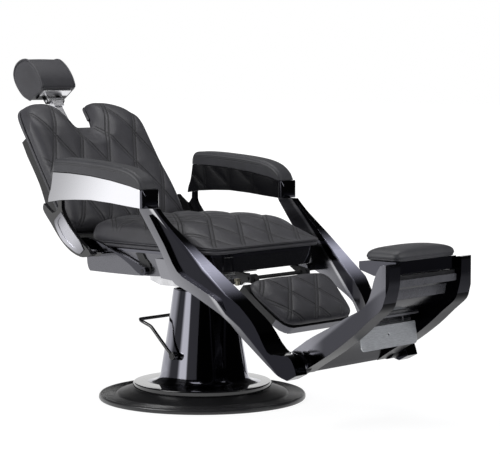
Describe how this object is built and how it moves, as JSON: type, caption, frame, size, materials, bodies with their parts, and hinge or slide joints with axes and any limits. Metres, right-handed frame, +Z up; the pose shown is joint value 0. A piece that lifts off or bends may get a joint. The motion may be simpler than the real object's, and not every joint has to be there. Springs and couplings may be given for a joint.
{
  "type": "hydraulic barber chair",
  "caption": "Reclining barber chair on a hydraulic column with tufted seat and back, headrest, arms, calf pad and swinging footrest with ankle pad.",
  "frame": {"origin": "centre of the base's underside, on the floor", "axes": "+Z up along the lift and swivel axis, +X forward towards the footrest, +Y to the sitter's left"},
  "size_m": [1.6509, 0.692, 1.04],
  "materials": {
    "floor_rubber": "matte ribbed",
    "satin_black": "satin",
    "gloss_black": "gloss",
    "pump_iron": "machined",
    "bolt_steel": "plated",
    "ram_chrome": "polished",
    "black_rod": "gloss",
    "seal": "matte",
    "bracket_metal": "plated",
    "seat_metal": "satin",
    "dark_polish": "dark polished",
    "dark_frame": "semi gloss",
    "brushed_plate": "brushed",
    "leather": "soft grained",
    "piping": "smooth",
    "pad_leather": "soft"
  },
  "bodies": {
    "base": {"base_ring": "floor_rubber", "base_plate": "satin_black", "base_cover": "gloss_black", "column_front_cover": "gloss_black", "column_rear_cover": "gloss_black", "pump_cylinder": "pump_iron", "pump_body": "pump_iron", "pump_bolts": "bolt_steel", "return_spring": "bolt_steel"},
    "pump_pedal": {"pedal_yoke": "black_rod", "pedal_stub_left": "bolt_steel", "pedal_stub_right": "bolt_steel"},
    "plunger": {"pump_plunger": "ram_chrome"},
    "lift": {"piston_ram": "ram_chrome", "piston_seal": "seal"},
    "chair": {"seat_hub": "pump_iron", "seat_bracket": "bracket_metal", "mount_bolts": "bolt_steel", "seat_frame": "seat_metal", "seat_side_panel_left": "seat_metal", "seat_side_panel_right": "seat_metal", "seat_apron": "gloss_black", "seat_piping": "piping", "seat_cushion": "leather", "arm_housing_left": "dark_polish", "arm_housing_right": "dark_polish", "arm_front_block_left": "dark_frame", "arm_front_block_right": "dark_frame", "arm_pad_left": "pad_leather", "arm_pad_right": "pad_leather", "rear_bracket_left": "dark_polish", "rear_bracket_right": "dark_polish", "side_frame_left": "dark_polish", "side_frame_right": "dark_polish", "back_hinge_rod": "bolt_steel", "calf_hinge_rod": "black_rod", "leg_pivot_pins": "bolt_steel", "lever_bracket": "black_rod", "recline_cylinder": "dark_frame"},
    "lever": {"recline_lever": "dark_polish"},
    "rod": {"recline_rod": "ram_chrome"},
    "back": {"back_shell": "gloss_black", "back_cushion": "leather", "back_piping": "piping", "post_guide": "dark_frame", "back_lever": "pump_iron"},
    "head_post": {"headrest_post": "ram_chrome", "headrest_clamp": "black_rod"},
    "head": {"headrest_plate": "ram_chrome", "headrest_pin": "bolt_steel", "headrest_cushion": "leather"},
    "calf": {"calf_shell": "gloss_black", "calf_cushion": "leather"},
    "footrest": {"leg_arm_left": "dark_polish", "leg_arm_right": "dark_polish", "footrest_frame": "dark_frame", "footplate": "brushed_plate", "footplate_screws": "bolt_steel"},
    "ankle_pad": {"foot_pad_base": "dark_frame", "foot_pad_cushion": "pad_leather"}
  },
  "joints": [
    {"name": "lift_slide", "type": "slide", "parent": "base", "child": "lift", "axis": [0, 0, 1], "range_m": [0, 0.15]},
    {"name": "swivel", "type": "hinge", "parent": "lift", "child": "chair", "pos_m": [0, 0, 0.36], "axis": [0, 0, 1], "continuous": true},
    {"name": "pedal_press", "type": "hinge", "parent": "base", "child": "pump_pedal", "pos_m": [-0.012, 0, 0.14], "axis": [0, -1, 0], "range_deg": [0, 22], "stiffness_Nm_per_rad": 20, "springref_deg": -17.19},
    {"name": "plunger_slide", "type": "slide", "parent": "base", "child": "plunger", "axis": [0, 0, -1], "range_m": [0, 0.0125]},
    {"name": "recline", "type": "hinge", "parent": "chair", "child": "back", "pos_m": [-0.235, 0, 0.448], "axis": [0, 1, 0], "range_deg": [-12, 17]},
    {"name": "recline_rod_slide", "type": "slide", "parent": "chair", "child": "rod", "axis": [1, 0, 0], "range_m": [-0.0095, 0.0075]},
    {"name": "calf_swing", "type": "hinge", "parent": "chair", "child": "calf", "pos_m": [0.308, 0, 0.402], "axis": [0, 1, 0], "range_deg": [-20, 28]},
    {"name": "footrest_swing", "type": "hinge", "parent": "chair", "child": "footrest", "pos_m": [0.57, 0, 0.185], "axis": [0, 1, 0], "range_deg": [-14, 19]},
    {"name": "ankle_pad_turn", "type": "hinge", "parent": "footrest", "child": "ankle_pad", "pos_m": [0.849, 0, 0.474], "axis": [0, 1, 0], "range_deg": [0, 140]},
    {"name": "lever_pull", "type": "hinge", "parent": "chair", "child": "lever", "pos_m": [0.008, 0, 0.414], "axis": [0, 1, 0], "range_deg": [0, 14], "stiffness_Nm_per_rad": 2, "springref_deg": -11.46},
    {"name": "headrest_height", "type": "slide", "parent": "back", "child": "head_post", "axis": [-0.6018, 0, 0.7986], "range_m": [-0.05, 0.1]},
    {"name": "headrest_tilt", "type": "hinge", "parent": "head_post", "child": "head", "pos_m": [-0.66289, 0, 0.90934], "axis": [0, 1, 0], "range_deg": [-25, 25]}
  ],
  "couplings": [
    {"joint": "plunger_slide", "follows": "pedal_press", "m_per_rad": 0.031},
    {"joint": "recline_rod_slide", "follows": "recline", "m_per_rad": -0.028},
    {"joint": "calf_swing", "follows": "recline", "ratio": 1.6},
    {"joint": "footrest_swing", "follows": "recline", "ratio": 1.1}
  ]
}
